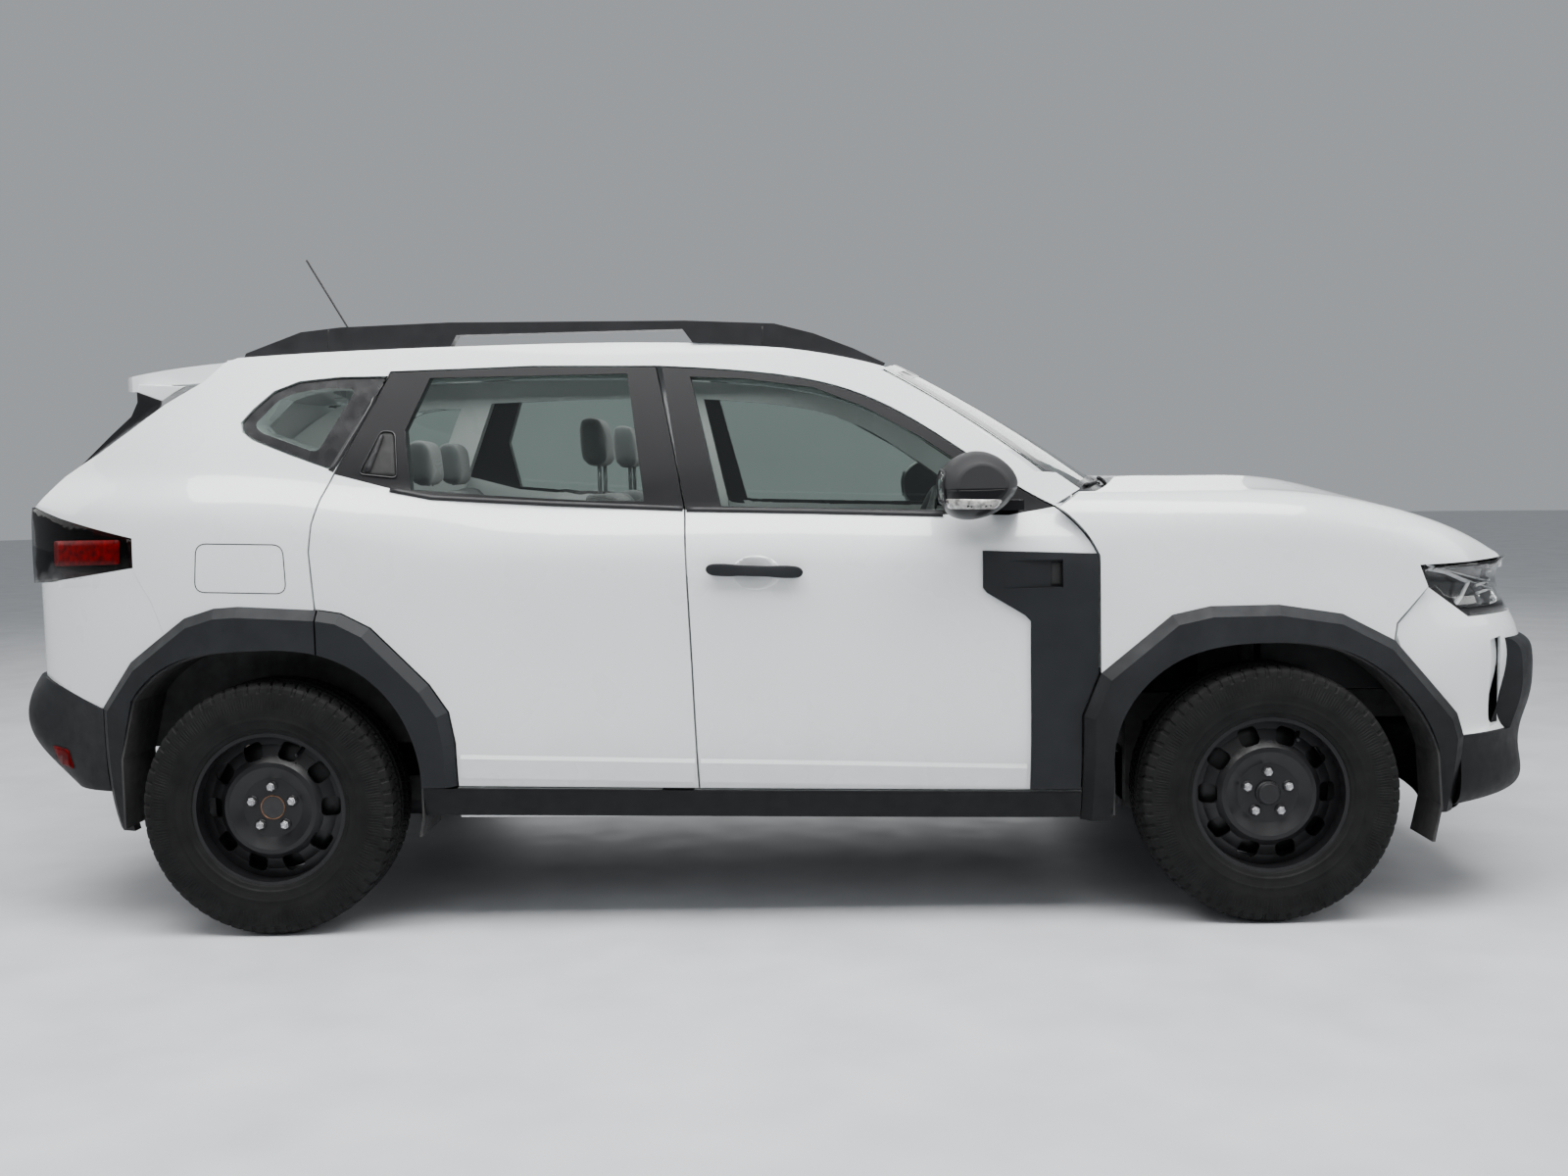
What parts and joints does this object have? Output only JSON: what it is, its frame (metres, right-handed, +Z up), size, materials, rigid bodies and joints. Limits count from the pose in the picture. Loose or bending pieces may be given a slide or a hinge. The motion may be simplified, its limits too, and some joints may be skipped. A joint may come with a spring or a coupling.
{
  "type": "sport utility vehicle",
  "caption": "White compact five-door SUV with black claddings, roof rails and steel wheels; doors, bonnet and tailgate open and the wheels steer and roll.",
  "frame": {"origin": "ground level under the middle of the vehicle's box", "axes": "+X forward, +Y to the vehicle's left, +Z up"},
  "size_m": [4.3494, 2.064, 1.9159],
  "materials": {
    "white_paint": "gloss",
    "black_plastic": "grained",
    "charcoal_plastic": "grained",
    "tinted_glass": "polished",
    "lamp_front": "clear lens over dark housing",
    "lamp_rear": "red lens in black housing",
    "wheel_steel": "grey painted steel",
    "tyre_rubber": "worn",
    "underbody": "dark primer",
    "bare_metal": "rusty",
    "cabin_plastic": "grained",
    "seat_fabric": "woven",
    "exhaust_steel": "dull"
  },
  "bodies": {
    "body": {"body_side_right": "white_paint", "body_side_left": "white_paint", "quarter_glass": "tinted_glass", "roof_panel": "white_paint", "side_claddings": "charcoal_plastic", "front_wings": "white_paint", "cowl": "black_plastic", "windscreen": "tinted_glass", "roof_rails": "black_plastic", "antenna": "black_plastic", "headlamps": "lamp_front", "grille": "black_plastic", "front_bumper": "white_paint", "front_bumper_lower": "black_plastic", "rear_bumper": "white_paint", "rear_bumper_lower": "black_plastic", "tail_lamps": "lamp_rear", "wheel_liners": "black_plastic", "front_suspension": "underbody", "floor_pan": "underbody", "engine_block": "underbody", "rear_axle": "underbody", "exhaust": "exhaust_steel", "fuel_tank": "underbody", "seats": "seat_fabric", "dashboard": "cabin_plastic"},
    "bonnet": {"bonnet": "white_paint"},
    "tailgate": {"tailgate": "white_paint", "tailgate_glass": "tinted_glass"},
    "front_door_right": {"front_door_right": "white_paint", "front_door_glass_right": "tinted_glass", "front_door_trim_right": "black_plastic"},
    "front_wheel_right": {"front_rim_right": "wheel_steel", "front_tyre_right": "tyre_rubber"},
    "rear_door_right": {"rear_door_right": "white_paint", "rear_door_glass_right": "tinted_glass", "rear_door_trim_right": "black_plastic"},
    "rear_wheel_right": {"rear_rim_right": "wheel_steel", "rear_tyre_right": "tyre_rubber"},
    "knuckle_right": {"knuckle_right": "bare_metal"},
    "front_door_left": {"front_door_left": "white_paint", "front_door_glass_left": "tinted_glass", "front_door_trim_left": "black_plastic"},
    "front_wheel_left": {"front_rim_left": "wheel_steel", "front_tyre_left": "tyre_rubber"},
    "rear_door_left": {"rear_door_left": "white_paint", "rear_door_glass_left": "tinted_glass", "rear_door_trim_left": "black_plastic"},
    "rear_wheel_left": {"rear_rim_left": "wheel_steel", "rear_tyre_left": "tyre_rubber"},
    "knuckle_left": {"knuckle_left": "bare_metal"},
    "steering_wheel": {"steering_wheel": "cabin_plastic"}
  },
  "joints": [
    {"name": "bonnet_hinge", "type": "hinge", "parent": "body", "child": "bonnet", "pos_m": [0.88, 0, 1.118], "axis": [0, -1, 0], "range_deg": [0, 55]},
    {"name": "tailgate_hinge", "type": "hinge", "parent": "body", "child": "tailgate", "pos_m": [-1.494, 0, 1.598], "axis": [0, 1, 0], "range_deg": [0, 75]},
    {"name": "front_door_right_hinge", "type": "hinge", "parent": "body", "child": "front_door_right", "pos_m": [0.782, -0.832, 0.7], "axis": [0, 0, 1], "range_deg": [0, 65]},
    {"name": "rear_door_right_hinge", "type": "hinge", "parent": "body", "child": "rear_door_right", "pos_m": [-0.292, -0.842, 0.7], "axis": [0, 0, 1], "range_deg": [0, 68]},
    {"name": "steer_right", "type": "hinge", "parent": "body", "child": "knuckle_right", "pos_m": [1.3055, -0.70581, 0.343], "axis": [0, 0.225, 0.9744], "range_deg": [-30, 30]},
    {"name": "front_wheel_right_spin", "type": "hinge", "parent": "knuckle_right", "child": "front_wheel_right", "pos_m": [1.3055, -0.785, 0.343], "axis": [0, 1, 0], "continuous": true},
    {"name": "rear_wheel_right_spin", "type": "hinge", "parent": "body", "child": "rear_wheel_right", "pos_m": [-1.3515, -0.785, 0.343], "axis": [0, 1, 0], "continuous": true},
    {"name": "front_door_left_hinge", "type": "hinge", "parent": "body", "child": "front_door_left", "pos_m": [0.782, 0.832, 0.7], "axis": [0, 0, -1], "range_deg": [0, 65]},
    {"name": "rear_door_left_hinge", "type": "hinge", "parent": "body", "child": "rear_door_left", "pos_m": [-0.292, 0.842, 0.7], "axis": [0, 0, -1], "range_deg": [0, 68]},
    {"name": "steer_left", "type": "hinge", "parent": "body", "child": "knuckle_left", "pos_m": [1.3055, 0.70581, 0.343], "axis": [0, -0.225, 0.9744], "range_deg": [-30, 30]},
    {"name": "front_wheel_left_spin", "type": "hinge", "parent": "knuckle_left", "child": "front_wheel_left", "pos_m": [1.3055, 0.785, 0.343], "axis": [0, 1, 0], "continuous": true},
    {"name": "rear_wheel_left_spin", "type": "hinge", "parent": "body", "child": "rear_wheel_left", "pos_m": [-1.3515, 0.785, 0.343], "axis": [0, 1, 0], "continuous": true},
    {"name": "steering_wheel_turn", "type": "hinge", "parent": "body", "child": "steering_wheel", "pos_m": [0.4555, 0.37, 0.985], "axis": [-0.9135, 0, 0.4067], "range_deg": [-420, 420]}
  ],
  "couplings": [
    {"joint": "steer_left", "follows": "steer_right", "ratio": 1},
    {"joint": "steering_wheel_turn", "follows": "steer_right", "ratio": 14}
  ]
}
